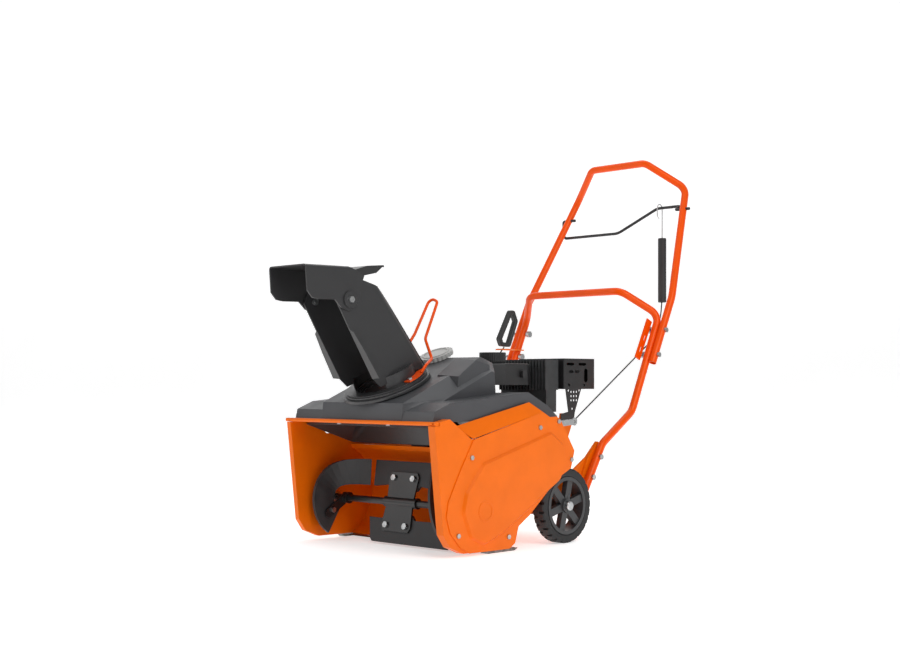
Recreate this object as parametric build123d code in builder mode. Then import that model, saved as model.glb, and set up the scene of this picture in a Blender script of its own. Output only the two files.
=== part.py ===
"""Single-stage walk-behind snow blower, 21 inch clearing width.

Millimetres.  X runs across the machine (+X is the belt side), +Y points
rearward to the operator, +Z is up.  The ground is Z = 0 and the origin is the
middle of the machine's footprint.  Side outlines are given as (distance
behind the front lip, height).
"""
from build123d import *
import os
from math import atan2, cos, degrees, hypot, radians, sin

os.makedirs("parts", exist_ok=True)

# ---------------------------------------------------------------- dimensions
LIP_Y = -472.95           # front lip, measured from the middle of the machine
CLEARING_WIDTH = 533.4    # 21 inches between the side plates
SHEET = 3.0               # folded steel of the housing
INNER = CLEARING_WIDTH / 2
PLATE_OUT = INNER + SHEET
LEFT_FLANGE = 282.0       # edge of the left plate's front flange
BOX_OUT = 290.0           # outer skin of the belt compartment
COVER_OUT = 292.5         # flange of the belt cover
PAN_OUT = 299.0           # raised pan of the belt cover

AUGER_Y, AUGER_Z = 158.0, 114.0
AUGER_R = 111.0
SHAFT_R = 9.5
CRANK_Y, CRANK_Z = 430.0, 243.0
AUGER_BELT_R, CRANK_BELT_R = 70.0, 30.0
BELT_DEPTH = 8.0
BELT_LEFT, BELT_RIGHT = 274.0, 283.5
IDLER_PIVOT = (452, 318)
IDLER_AT, IDLER_R = (367.4, 289.2), 18.0

WHEEL_Y, WHEEL_R = 501.0, 101.6      # 8 inch wheels
WHEEL_IN, WHEEL_OUT = 250.0, 288.0
AXLE_R = 6.35

RING_Y, RING_Z, RING_TILT = 98.0, 436.0, 23.0
RING_R = 112.0
CHUTE_HALF = 66.0
CHUTE_WALL = 3.5
COLLAR_R = 84.0
DEFLECTOR_HALF = 72.5
PIVOT_Y, PIVOT_Z = -91.0, 643.0

TUBE_R, TUBE_WALL = 11.1, 1.6        # 7/8 inch handle tube
LOWER_X, UPPER_X = 259.0, 282.0
BAIL_Y, BAIL_Z, BAIL_R = 1135.2, 968.0, 4.5
RUNNING = 0.06                       # radial clearance of a running fit


def side(x):
    """Plane across the machine at x; its own axes are rearward and up."""
    return Plane(origin=(x, LIP_Y, 0), x_dir=(0, 1, 0), z_dir=(1, 0, 0))


def level(z, x=0.0, y=0.0):
    """Horizontal plane at height z, centred x across and y behind the lip."""
    return Plane(origin=(x, LIP_Y + y, z))


def tilted(y, z, tilt, x=0.0):
    """Plane through (y, z) whose normal leans forward by tilt degrees."""
    lean = radians(tilt)
    normal = (0, -sin(lean), cos(lean))
    return Plane(origin=(x, LIP_Y + y, z), x_dir=(1, 0, 0), z_dir=normal)


def mirrored(points):
    """Path from the right end over the middle to the left end."""
    return points + [(-x, y, z) for x, y, z in reversed(points)]


MACHINE = Plane(origin=(0, LIP_Y, 0))
RING = tilted(RING_Y, RING_Z, RING_TILT)


def sweep_round(path, radius, bore=0.0):
    """Round rod or tube along a wire."""
    with BuildPart() as rod:
        with BuildSketch(Plane(origin=path @ 0, z_dir=path % 0)):
            Circle(radius)
            if bore > 0:
                Circle(bore, mode=Mode.SUBTRACT)
        sweep(path=path)
    return rod


def bent_path(points, radii):
    """Straight runs joined by arcs, in machine coordinates."""
    with BuildLine(MACHINE) as line:
        FilletPolyline(*points, radius=radii)
    return line.wire()


# ------------------------------------------------------------ auger housing
# outline of both side plates, from the lip's seat round the front and bottom
SIDE_OUTLINE = [(9, 328.5), (-8, 328.5), (22, 60), (45, 28), (92, 9), (262, 7),
                (284, 20), (297, 62), (341, 88), (455, 178), (511, 203), (526, 250),
                (468, 334), (425, 343), (330, 297), (122, 293), (45, 345), (9, 338)]
CORNER_R = 6.0
WHEEL_GAP = 3.0        # the plates are cut round the tyres


with BuildSketch() as side_outline:
    Polygon(*SIDE_OUTLINE, align=None)
    rounded = [v for v in side_outline.vertices() if v.X > 12 or v.Y < 300]
    fillet(rounded, CORNER_R)
    with Locations((WHEEL_Y, WHEEL_R)):
        Circle(WHEEL_R + WHEEL_GAP, mode=Mode.SUBTRACT)

FRONT_BAND = 96.0      # the front flange ends this far behind the lip

with BuildPart() as side_plate_left:
    with BuildSketch(side(-PLATE_OUT)):
        add(side_outline.sketch)
        with Locations((AUGER_Y, AUGER_Z)):
            Circle(15.2, mode=Mode.SUBTRACT)
    extrude(amount=SHEET)
    with BuildSketch(side(-LEFT_FLANGE)) as left_band:
        add(side_outline.sketch)
        offset(amount=-SHEET, mode=Mode.SUBTRACT)
        with Locations((FRONT_BAND + 250, 180)):
            Rectangle(500, 500, mode=Mode.SUBTRACT)
        with Locations((20, 340)):
            Rectangle(80, 24, mode=Mode.SUBTRACT)
    extrude(amount=LEFT_FLANGE - PLATE_OUT)
side_plate_left.part.label = "side_plate_left"
export_step(side_plate_left.part, "parts/side_plate_left.step")

# belt cover outline on the outer skin of the belt compartment
COVER_OUTLINE = [(129, 292), (84, 222), (38, 141), (31, 104), (45, 62), (81, 24), (112, 8),
                 (262, 7), (284, 20), (297, 62), (341, 88), (455, 178), (511, 203),
                 (526, 250), (468, 334), (452, 344), (423, 343), (395, 357)]

with BuildPart() as side_plate_right:
    with BuildSketch(side(INNER)):
        add(side_outline.sketch)
    extrude(amount=BOX_OUT - INNER)
    with BuildSketch(side(PLATE_OUT)):
        add(side_outline.sketch)
        offset(amount=-SHEET)
    extrude(amount=BOX_OUT - PLATE_OUT - SHEET, mode=Mode.SUBTRACT)
    with BuildSketch(side(BOX_OUT - SHEET)):
        Polygon(*COVER_OUTLINE, align=None)
        offset(amount=-14)
        with Locations((WHEEL_Y, WHEEL_R)):
            Circle(WHEEL_R + WHEEL_GAP + 8, mode=Mode.SUBTRACT)
    extrude(amount=SHEET, mode=Mode.SUBTRACT)
    with BuildSketch(side(INNER)):
        with Locations((AUGER_Y, AUGER_Z), (CRANK_Y, CRANK_Z)):
            Circle(15.2)
        with Locations(IDLER_PIVOT):
            Circle(5 + RUNNING)
    extrude(amount=SHEET, mode=Mode.SUBTRACT)
side_plate_right.part.label = "side_plate_right"
export_step(side_plate_right.part, "parts/side_plate_right.step")

WRAP_Y, WRAP_Z, WRAP_R = 165.0, 132.0, 130.0
with BuildPart() as housing_wrap:
    with BuildSketch(side(-INNER)):
        with BuildLine():
            wrap_arc = CenterArc((WRAP_Y, WRAP_Z), WRAP_R, -52, 118)
            Line((217, 7.8), wrap_arc @ 0)
            Line(wrap_arc @ 1, (212, 262))
        trace(line_width=SHEET)
    extrude(amount=CLEARING_WIDTH)
housing_wrap.part.label = "housing_wrap"
export_step(housing_wrap.part, "parts/housing_wrap.step")

with BuildPart() as front_lip:
    with BuildSketch(side(-BOX_OUT + 1)):
        with Locations((0.5, 333.8)):
            RectangleRounded(15, 10, 4.5)
    extrude(amount=2 * BOX_OUT - 2)
    with BuildSketch(side(-INNER)):
        with Locations((19, 330.5)):
            Rectangle(28, 3)
    extrude(amount=CLEARING_WIDTH)
    with Locations(Plane(origin=(BOX_OUT - 8, LIP_Y - 7, 334), z_dir=(0, -1, 0))):
        Hole(2.5, depth=8)
front_lip.part.label = "front_lip"
export_step(front_lip.part, "parts/front_lip.step")

with BuildPart() as scraper_bar:
    with BuildSketch(side(-INNER + 4)):
        Polygon((204, 2.5), (212, 1), (246, 1), (246, 5.5), (208, 5.5), align=None)
    extrude(amount=CLEARING_WIDTH - 8)
scraper_bar.part.label = "scraper_bar"
export_step(scraper_bar.part, "parts/scraper_bar.step")

SKID_IN, SKID_OUT = 264.0, 288.0
with BuildPart() as skid_shoes:
    for x in (-SKID_OUT, SKID_IN):
        with BuildSketch(side(x)):
            Polygon((176, 6.6), (186, 0), (286, 0), (300, 6.6), align=None)
        extrude(amount=SKID_OUT - SKID_IN)
skid_shoes.part.label = "skid_shoes"
export_step(skid_shoes.part, "parts/skid_shoes.step")

# ------------------------------------------------------------ chute funnel
# snow leaves the auger through a mouth on a slant and a round neck
FUNNEL_FRONT, FUNNEL_REAR = (40, 322), (214, 266)
MOUTH_LEN = hypot(FUNNEL_REAR[0] - FUNNEL_FRONT[0], FUNNEL_REAR[1] - FUNNEL_FRONT[1])
MOUTH_SLOPE = degrees(atan2(FUNNEL_FRONT[1] - FUNNEL_REAR[1], FUNNEL_REAR[0] - FUNNEL_FRONT[0]))
mouth_plane = tilted((FUNNEL_FRONT[0] + FUNNEL_REAR[0]) / 2,
                     (FUNNEL_FRONT[1] + FUNNEL_REAR[1]) / 2, -MOUTH_SLOPE)
NECK_R = 74.0
NECK_DROP = 34.0
neck_plane = RING.offset(-NECK_DROP)
with BuildPart() as chute_funnel:
    for inset, mode in ((0, Mode.ADD), (CHUTE_WALL, Mode.SUBTRACT)):
        with BuildSketch(mouth_plane.offset(-inset / 10)):
            RectangleRounded(2 * (INNER - 2 - inset), MOUTH_LEN - 2 * inset, 12)
        with BuildSketch(neck_plane.offset(inset / 10)):
            neck = 2 * (NECK_R - inset)
            RectangleRounded(neck, neck, neck / 2 - 0.5)
        loft(mode=mode)
    with BuildSketch(neck_plane.offset(-1)):
        Circle(NECK_R)
        Circle(NECK_R - CHUTE_WALL, mode=Mode.SUBTRACT)
    extrude(amount=NECK_DROP - 14)
chute_funnel.part.label = "chute_funnel"
export_step(chute_funnel.part, "parts/chute_funnel.step")

# ------------------------------------------------------------ belt cover
CREASE_FRONT, CREASE_REAR = (129, 295), (395, 357)
PAN_OUTLINE = [(160, 232), (96, 160), (84, 112), (112, 45), (165, 24), (232, 48),
               (462, 172), (488, 215), (478, 268), (425, 304)]
PAN_DEPTH = PAN_OUT - COVER_OUT
COVER_T = 2.5
SKIRT_LEAN = 27.0
COVER_BOLTS = [(120, 247), (382, 316), (458, 331), (512, 226), (71, 55), (257, 38)]


with BuildSketch() as pan_outline:
    Polygon(*PAN_OUTLINE, align=None)
    fillet(pan_outline.vertices(), 24)

with BuildSketch() as cover_outline:
    Polygon(*COVER_OUTLINE, align=None)
    fillet(cover_outline.vertices(), 5)

crease_len = hypot(CREASE_REAR[0] - CREASE_FRONT[0], CREASE_REAR[1] - CREASE_FRONT[1])
crease_y = (CREASE_REAR[0] - CREASE_FRONT[0]) / crease_len
crease_z = (CREASE_REAR[1] - CREASE_FRONT[1]) / crease_len
skirt_plane = Plane(origin=(COVER_OUT, LIP_Y + CREASE_FRONT[0], CREASE_FRONT[1]),
                    x_dir=(0, crease_y, crease_z),
                    z_dir=(cos(radians(SKIRT_LEAN)), -crease_z * sin(radians(SKIRT_LEAN)),
                           crease_y * sin(radians(SKIRT_LEAN))))

with BuildPart() as belt_cover:
    with BuildSketch(side(BOX_OUT)):
        add(cover_outline.sketch)
    extrude(amount=COVER_T)
    with BuildSketch(side(COVER_OUT)):
        add(pan_outline.sketch)
    extrude(amount=PAN_DEPTH, taper=40)
    with BuildSketch(side(PAN_OUT)):
        with Locations((AUGER_Y + 8, AUGER_Z - 4)):
            Circle(27)
            Circle(21, mode=Mode.SUBTRACT)
    extrude(amount=0.9)
    with BuildSketch(side(BOX_OUT)):
        add(pan_outline.sketch)
        offset(amount=-6)
    extrude(amount=PAN_OUT - BOX_OUT - COVER_T, mode=Mode.SUBTRACT)
    with BuildSketch(side(BOX_OUT)):
        with Locations(*COVER_BOLTS):
            Circle(3)
    extrude(amount=COVER_T, mode=Mode.SUBTRACT)
    with BuildSketch(skirt_plane):
        Polygon((0, 0), (crease_len, 0), (crease_len - 30, 38), (-42, 46), (-4, 3),
                align=None)
    extrude(amount=-COVER_T)
belt_cover.part.label = "belt_cover"
export_step(belt_cover.part, "parts/belt_cover.step")

with BuildPart() as cover_bolts:
    with BuildSketch(side(COVER_OUT)):
        with Locations(*COVER_BOLTS):
            RegularPolygon(6.5, 6)
    extrude(amount=4)
    with BuildSketch(side(BOX_OUT)):
        with Locations(*COVER_BOLTS):
            Circle(2.9)
    extrude(amount=COVER_T)
    with BuildSketch(Plane(origin=(0, LIP_Y + 19, 329), z_dir=(0, 0, -1))):
        with Locations((-95, 0), (95, 0)):
            RegularPolygon(6, 6)
    extrude(amount=4)
cover_bolts.part.label = "cover_bolts"
export_step(cover_bolts.part, "parts/cover_bolts.step")

# ------------------------------------------------------------ hood
HOOD_HALF, DECK_HALF = 266.4, 155.0
HOOD_T = 3.0
HOOD_SIDE = [(9, 337), (16, 363), (70, 384), (367, 409), (444, 373), (484, 344), (484, 337)]
HOOD_DECK = [(9, 337), (14, 383), (166, 447), (300, 503), (345, 488), (352, 400), (352, 337)]
SHOULDER = [(168, 380), (176, 455), (246, 501), (306, 488), (318, 430), (318, 380)]
ENGINE_BAY_Y, ENGINE_BAY_HALF = 352.0, 196.0


FUEL_X, FUEL_Y, FUEL_Z = -10.0, 300.0, 502.0
filler = tilted(FUEL_Y, FUEL_Z, RING_TILT, FUEL_X)
with BuildPart() as hood:
    for inset, mode in ((0, Mode.ADD), (HOOD_T, Mode.SUBTRACT)):
        with BuildSketch(side(0)):
            Polygon(*HOOD_SIDE, align=None)
            offset(amount=-inset)
        extrude(amount=HOOD_HALF - inset, both=True, mode=mode)
        with BuildSketch(side(0)):
            Polygon(*HOOD_DECK, align=None)
            offset(amount=-inset)
        extrude(amount=DECK_HALF - inset, both=True, mode=mode)
        for sign in (-1, 1):
            with BuildSketch(side(sign * (DECK_HALF - inset))):
                Polygon(*HOOD_DECK, align=None)
                offset(amount=-inset)
            extrude(amount=sign * 40, taper=42, mode=mode)
            with BuildSketch(side(sign * (116 + inset))):
                Polygon(*SHOULDER, align=None)
                offset(amount=-inset)
            extrude(amount=sign * (70 - 2 * inset), taper=6, mode=mode)
    with BuildSketch(level(330, 0, 256)):
        Rectangle(2 * (HOOD_HALF - HOOD_T), 452)
    extrude(amount=12, mode=Mode.SUBTRACT)
    with BuildSketch(level(330, 0, ENGINE_BAY_Y + 100)):
        Rectangle(2 * ENGINE_BAY_HALF, 200)
    extrude(amount=260, mode=Mode.SUBTRACT)
    with BuildSketch(RING.offset(-60)):
        Circle(NECK_R + 10)
    extrude(amount=75, mode=Mode.SUBTRACT)
    with BuildSketch(filler.offset(-40)):
        Circle(33)
    extrude(amount=60, mode=Mode.SUBTRACT)
hood.part.label = "hood"
export_step(hood.part, "parts/hood.step")

# ------------------------------------------------------------ chute
with BuildPart() as chute_collar:
    with BuildSketch(RING.offset(-13)):
        Circle(RING_R + 7)
        Circle(NECK_R + 1, mode=Mode.SUBTRACT)
    extrude(amount=8)
    fillet(chute_collar.edges().filter_by(GeomType.CIRCLE).group_by(Axis.Z)[-1], 2)
chute_collar.part.label = "chute_collar"
export_step(chute_collar.part, "parts/chute_collar.step")

FLANGE_R = 108.0
with BuildPart() as chute_ring:
    with BuildSketch(RING.offset(-4.6)):
        Circle(RING_R)
        Circle(NECK_R + 3, mode=Mode.SUBTRACT)
    extrude(amount=5.4)
chute_ring.part.label = "chute_ring"
export_step(chute_ring.part, "parts/chute_ring.step")

# a bent-rod handle for turning the chute stands on pads beside it
HANDLE_ROD_R = 4.0
PAD_LOW, PAD_T = 4.5, 3.0
handle_path = bent_path([(94, 138, 461.5), (90, 160, 482), (66, 205, 498), (36, 209, 552),
                         (36, 256, 654), (2, 262, 666), (0, 205, 566), (0, 167.7, 520.8)],
                        [12, 18, 22, 12, 14, 30])
with BuildPart() as chute_handle:
    with BuildSketch(RING.offset(PAD_LOW)):
        Circle(FLANGE_R)
        Circle(COLLAR_R + 2, mode=Mode.SUBTRACT)
        Rectangle(2 * CHUTE_HALF + 6, 3 * FLANGE_R, mode=Mode.SUBTRACT)
        with Locations((0, -FLANGE_R)):
            Rectangle(3 * FLANGE_R, 2 * FLANGE_R - 24, mode=Mode.SUBTRACT)
    extrude(amount=PAD_T)
    add(sweep_round(handle_path, HANDLE_ROD_R).part)
chute_handle.part.label = "chute_handle"
export_step(chute_handle.part, "parts/chute_handle.step")

CHUTE_OUTLINE = [(-128, 637), (-88, 572), (-6, 444), (20, 424), (150, 470), (206, 466),
                 (189, 493), (105, 594), (12, 682), (-62, 700), (-112, 672)]
# the front edges of the chute are turned outwards
WING = Plane(origin=(0, LIP_Y - 6, 444), x_dir=(1, 0, 0), z_dir=(0, -0.842, -0.539))
with BuildPart() as chute:
    with BuildSketch(side(-CHUTE_HALF)):
        Polygon(*CHUTE_OUTLINE, align=None)
    extrude(amount=2 * CHUTE_HALF)
    spine = [e for e in chute.edges() if abs(e.center().X) > CHUTE_HALF - 1
             and (e.center() - Vector(0, LIP_Y, 0)).Y * 0.77
             + e.center().Z * 0.64 > 455 and e.center().Z < 690]
    fillet(spine, 30)
    with BuildSketch(RING.offset(1)):
        Circle(COLLAR_R)
    extrude(amount=34)
    split(bisect_by=RING.offset(1), keep=Keep.TOP)
    with BuildSketch(RING.offset(-2)):
        Circle(COLLAR_R - CHUTE_WALL)
    extrude(amount=33, mode=Mode.SUBTRACT)
    with BuildSketch(side(-CHUTE_HALF + CHUTE_WALL)):
        Polygon((-175, 637), (-135, 572), (-53, 444), (20, 380), (150, 452), (198, 462),
                (184, 489), (101, 589), (9, 678), (-62, 760), (-175, 760), align=None)
    extrude(amount=2 * (CHUTE_HALF - CHUTE_WALL), mode=Mode.SUBTRACT)
    with BuildSketch(RING.offset(1)):
        Circle(FLANGE_R)
        Circle(COLLAR_R - CHUTE_WALL, mode=Mode.SUBTRACT)
    extrude(amount=3)
    for sign in (-1, 1):
        with BuildSketch(WING):
            Polygon((sign * 62.5, 0), (sign * 90, 2), (sign * 84, 80), (sign * 76, 138),
                    (sign * 62.5, 150), align=None)
        extrude(amount=-CHUTE_WALL)
    with Locations(Plane(origin=(-100, LIP_Y + PIVOT_Y, PIVOT_Z), z_dir=(-1, 0, 0))):
        Hole(5 + RUNNING, depth=220)
chute.part.label = "chute"
export_step(chute.part, "parts/chute.step")

DEFLECTOR_OUTLINE = [(-233, 725), (-228, 660), (-212, 643), (-191, 640), (-139, 641),
                     (-118, 622), (-91, 615), (-66, 628), (-56, 650), (-54, 678), (-42, 705),
                     (-91, 727)]
with BuildPart() as deflector:
    with BuildSketch(side(-DEFLECTOR_HALF)):
        Polygon(*DEFLECTOR_OUTLINE, align=None)
    extrude(amount=2 * DEFLECTOR_HALF)
    top_edges = [e for e in deflector.edges() if abs(e.center().X) > DEFLECTOR_HALF - 1
                 and e.center().Z > 724]
    fillet(top_edges, 9)
    with BuildSketch(side(-DEFLECTOR_HALF + 4)):
        Polygon((-260, 721), (-92, 723), (-20, 690), (-20, 560), (-260, 560), align=None)
    extrude(amount=2 * DEFLECTOR_HALF - 8, mode=Mode.SUBTRACT)
    with BuildSketch(side(-34)):
        Polygon((-70, 714), (3, 736), (60, 741), (62, 736), (4, 730), (-66, 709), align=None)
    extrude(amount=68)
    for x in (-34, 30):
        with BuildSketch(side(x)):
            Polygon((-66, 711), (3, 733), (58, 738), (34, 719), (-46, 702), align=None)
        extrude(amount=4)
    with Locations(Plane(origin=(-100, LIP_Y + PIVOT_Y, PIVOT_Z), z_dir=(-1, 0, 0))):
        Hole(5.05, depth=220)
deflector.part.label = "deflector"
export_step(deflector.part, "parts/deflector.step")

with BuildPart() as deflector_washers:
    for x in (-DEFLECTOR_HALF - 4, DEFLECTOR_HALF):
        with BuildSketch(side(x)):
            with Locations((PIVOT_Y, PIVOT_Z)):
                Circle(21)
                Circle(5.05, mode=Mode.SUBTRACT)
        extrude(amount=4)
deflector_washers.part.label = "deflector_washers"
export_step(deflector_washers.part, "parts/deflector_washers.step")

with BuildPart() as chute_bolts:
    for sign in (-1, 1):
        with BuildSketch(side(sign * (CHUTE_HALF - CHUTE_WALL - 4))):
            with Locations((PIVOT_Y, PIVOT_Z)):
                Circle(5)
        extrude(amount=sign * (DEFLECTOR_HALF + 8 - CHUTE_HALF + CHUTE_WALL))
        with BuildSketch(side(sign * (DEFLECTOR_HALF + 4.1))):
            with Locations((PIVOT_Y, PIVOT_Z)):
                RegularPolygon(8.5, 6)
        extrude(amount=sign * 6)
        with BuildSketch(side(sign * (CHUTE_HALF - CHUTE_WALL))):
            with Locations((PIVOT_Y, PIVOT_Z)):
                Circle(9)
        extrude(amount=-sign * 3.5)
    with BuildSketch(RING.offset(PAD_LOW + PAD_T + 0.2)):
        with PolarLocations(97, 2):
            RegularPolygon(6.5, 6)
    extrude(amount=5)
chute_bolts.part.label = "chute_bolts"
export_step(chute_bolts.part, "parts/chute_bolts.step")

# ------------------------------------------------------------ auger
SHAFT_LEFT, SHAFT_RIGHT = -278.0, 286.0


def auger_line(x):
    """Plane across the auger at x with its origin on the shaft."""
    return Plane(origin=(x, LIP_Y + AUGER_Y, AUGER_Z), x_dir=(0, 1, 0), z_dir=(1, 0, 0))


with BuildPart() as auger_shaft:
    with BuildSketch(auger_line(SHAFT_LEFT)):
        Circle(SHAFT_R)
    extrude(amount=SHAFT_RIGHT - SHAFT_LEFT)
    chamfer(auger_shaft.edges().filter_by(GeomType.CIRCLE), 1.5)
auger_shaft.part.label = "auger_shaft"
export_step(auger_shaft.part, "parts/auger_shaft.step")

# each spiral is a rubber flight wound on the shaft from the end to the middle
FLIGHT_STEPS, FLIGHT_T, FLIGHT_BORE = 16, 8.0, 40.0
FLIGHT_START, FLIGHT_TURN = 238.0, -152.0


def flight(sign, outer, reach, lead):
    """Rubber flight that runs reach inwards, faster the larger its lead is."""
    with BuildPart() as turn:
        for step in range(FLIGHT_STEPS):
            for end in (0, 1):
                t = (step + end) / FLIGHT_STEPS
                angle = radians(FLIGHT_START + FLIGHT_TURN * t)
                x = sign * (outer - reach * t ** lead)
                radial = (0, cos(angle), sin(angle))
                centre = (x, LIP_Y + AUGER_Y + radial[1] * (FLIGHT_BORE + AUGER_R) / 2,
                          AUGER_Z + radial[2] * (FLIGHT_BORE + AUGER_R) / 2)
                normal = (0, -radial[2], radial[1])
                with BuildSketch(Plane(origin=centre, x_dir=radial, z_dir=normal)):
                    Rectangle(AUGER_R - FLIGHT_BORE, FLIGHT_T)
            loft(ruled=True)
    return turn


auger_spiral_left = flight(-1, 236, 104, 8)
auger_spiral_left.part.label = "auger_spiral_left"
export_step(auger_spiral_left.part, "parts/auger_spiral_left.step")

auger_spiral_right = flight(1, 227, 98, 2.4)
auger_spiral_right.part.label = "auger_spiral_right"
export_step(auger_spiral_right.part, "parts/auger_spiral_right.step")

BLADE_EDGE = [(62, 46), (50, 32), (-50, 32), (-62, 46)]
UPPER_BLADE = [(-118, 40), (-126, AUGER_R), (124, AUGER_R), (118, 40)]
LOWER_BLADE = [(112, 46), (96, AUGER_R - 8), (88, AUGER_R), (-196, AUGER_R), (-186, 44)]
PADDLE_LEAN = -14.0       # tilt of the blades from the vertical through the shaft
PADDLE_T = 8.0


def blade_plane(turn):
    """Plane of one blade; its own axes run along and away from the shaft."""
    lean = radians(90 + PADDLE_LEAN + turn)
    return Plane(origin=(0, LIP_Y + AUGER_Y, AUGER_Z), x_dir=(1, 0, 0),
                 z_dir=(0, sin(lean), -cos(lean)))


with BuildPart() as center_paddle:
    for turn in (0, 180):
        with BuildSketch(blade_plane(turn)):
            if turn:
                Polygon(*UPPER_BLADE, *BLADE_EDGE, align=None)
            else:
                Polygon(*[(-x, r) for x, r in LOWER_BLADE], *BLADE_EDGE, align=None)
        extrude(amount=PADDLE_T / 2, both=True)
center_paddle.part.label = "center_paddle"
export_step(center_paddle.part, "parts/center_paddle.step")

# steel plates clamp the blades to a sleeve on the shaft
BRACKET_HALF, BRACKET_T = 56.0, 5.0
PADDLE_BOLTS = [(-37, 64), (37, 64)]
with BuildPart() as paddle_brackets:
    with BuildSketch(auger_line(-BRACKET_HALF - 6)):
        Circle(SHAFT_R + 5)
    extrude(amount=2 * BRACKET_HALF + 12)
    for turn in (0, 180):
        front = PADDLE_T / 2 + 0.1 if turn else -PADDLE_T / 2 - 0.1 - BRACKET_T
        with BuildSketch(blade_plane(turn).offset(front)):
            Polygon((-BRACKET_HALF, 68), (-BRACKET_HALF + 8, 80), (BRACKET_HALF - 8, 80),
                    (BRACKET_HALF, 68), (BRACKET_HALF - 6, 8), (-BRACKET_HALF + 6, 8),
                    align=None)
        extrude(amount=BRACKET_T)
    with BuildSketch(auger_line(-BRACKET_HALF - 8)):
        Circle(SHAFT_R)
    extrude(amount=2 * BRACKET_HALF + 16, mode=Mode.SUBTRACT)
paddle_brackets.part.label = "paddle_brackets"
export_step(paddle_brackets.part, "parts/paddle_brackets.step")

# a flat arm carries the outer end of each flight
ARM_T, ARM_ANGLE = 4.0, 212.0
ARM_X = {-1: 226.0, 1: 214.0}
ARM_BOLT_R = 58.0
with BuildPart() as auger_arms:
    for sign in (-1, 1):
        with BuildSketch(auger_line(sign * ARM_X[sign])):
            with Locations(Rotation(0, 0, ARM_ANGLE) * Pos(36, 0)):
                SlotOverall(100, 26)
        extrude(amount=sign * ARM_T)
        with BuildSketch(auger_line(sign * (ARM_X[sign] - 14))):
            Circle(16)
        extrude(amount=sign * (ARM_T + 14))
        with BuildSketch(auger_line(sign * (ARM_X[sign] - 20))):
            Circle(SHAFT_R)
        extrude(amount=sign * 40, mode=Mode.SUBTRACT)
auger_arms.part.label = "auger_arms"
export_step(auger_arms.part, "parts/auger_arms.step")

with BuildPart() as auger_bolts:
    for turn in (0, 180):
        front = 1 if turn else -1
        with BuildSketch(blade_plane(turn).offset(front * (PADDLE_T / 2 + BRACKET_T + 0.2))):
            with Locations(*PADDLE_BOLTS):
                RegularPolygon(9, 6)
        extrude(amount=front * 6)
    for sign in (-1, 1):
        with BuildSketch(auger_line(sign * (ARM_X[sign] - 0.1))):
            with PolarLocations(ARM_BOLT_R, 1, start_angle=ARM_ANGLE):
                RegularPolygon(8, 6)
        extrude(amount=-sign * 6)
auger_bolts.part.label = "auger_bolts"
export_step(auger_bolts.part, "parts/auger_bolts.step")

with BuildPart() as auger_bearings:
    for x, out in ((-PLATE_OUT, -1), (INNER, -1)):
        with BuildSketch(auger_line(x + out * 0.1)):
            Circle(26)
        extrude(amount=out * 4)
        with BuildSketch(auger_line(x)):
            Circle(15)
        extrude(amount=SHEET)
        with BuildSketch(auger_line(x - 5)):
            Circle(SHAFT_R + RUNNING)
        extrude(amount=10, mode=Mode.SUBTRACT)
auger_bearings.part.label = "auger_bearings"
export_step(auger_bearings.part, "parts/auger_bearings.step")


# ------------------------------------------------------------ belt drive
def crank_line(x):
    """Plane across the crankshaft at x with its origin on the crank axis."""
    return Plane(origin=(x, LIP_Y + CRANK_Y, CRANK_Z), x_dir=(0, 1, 0), z_dir=(1, 0, 0))


GROOVE_GAP = 0.4
with BuildPart() as auger_pulley:
    with BuildSketch(auger_line(BELT_LEFT - 2.5)):
        Circle(AUGER_BELT_R + BELT_DEPTH + 3)
    extrude(amount=2.2)
    with BuildSketch(auger_line(BELT_LEFT - 0.3)):
        Circle(AUGER_BELT_R - GROOVE_GAP)
    extrude(amount=BELT_RIGHT - BELT_LEFT + 0.6)
    with BuildSketch(auger_line(BELT_RIGHT + 0.3)):
        Circle(AUGER_BELT_R + BELT_DEPTH + 3)
    extrude(amount=2.2)
    with BuildSketch(auger_line(BELT_LEFT - 5)):
        Circle(SHAFT_R)
        with PolarLocations(42, 5):
            Circle(14)
    extrude(amount=20, mode=Mode.SUBTRACT)
auger_pulley.part.label = "auger_pulley"
export_step(auger_pulley.part, "parts/auger_pulley.step")

with BuildPart() as drive_pulley:
    with BuildSketch(crank_line(BELT_LEFT - 2.5)):
        Circle(CRANK_BELT_R + BELT_DEPTH + 2)
    extrude(amount=2.2)
    with BuildSketch(crank_line(BELT_LEFT - 0.3)):
        Circle(CRANK_BELT_R - GROOVE_GAP)
    extrude(amount=BELT_RIGHT - BELT_LEFT + 0.6)
    with BuildSketch(crank_line(BELT_RIGHT + 0.3)):
        Circle(CRANK_BELT_R + BELT_DEPTH + 2)
    extrude(amount=2.2)
    with BuildSketch(crank_line(BELT_LEFT - 5)):
        Circle(SHAFT_R)
    extrude(amount=20, mode=Mode.SUBTRACT)
drive_pulley.part.label = "drive_pulley"
export_step(drive_pulley.part, "parts/drive_pulley.step")

with BuildPart() as drive_belt:
    for belt_edge, mode in ((BELT_DEPTH, Mode.ADD), (0, Mode.SUBTRACT)):
        with BuildSketch(side(BELT_LEFT)):
            with Locations((AUGER_Y, AUGER_Z)):
                Circle(AUGER_BELT_R + belt_edge)
            with Locations((CRANK_Y, CRANK_Z)):
                Circle(CRANK_BELT_R + belt_edge)
            make_hull()
        extrude(amount=BELT_RIGHT - BELT_LEFT, mode=mode)
drive_belt.part.label = "drive_belt"
export_step(drive_belt.part, "parts/drive_belt.step")

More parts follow.
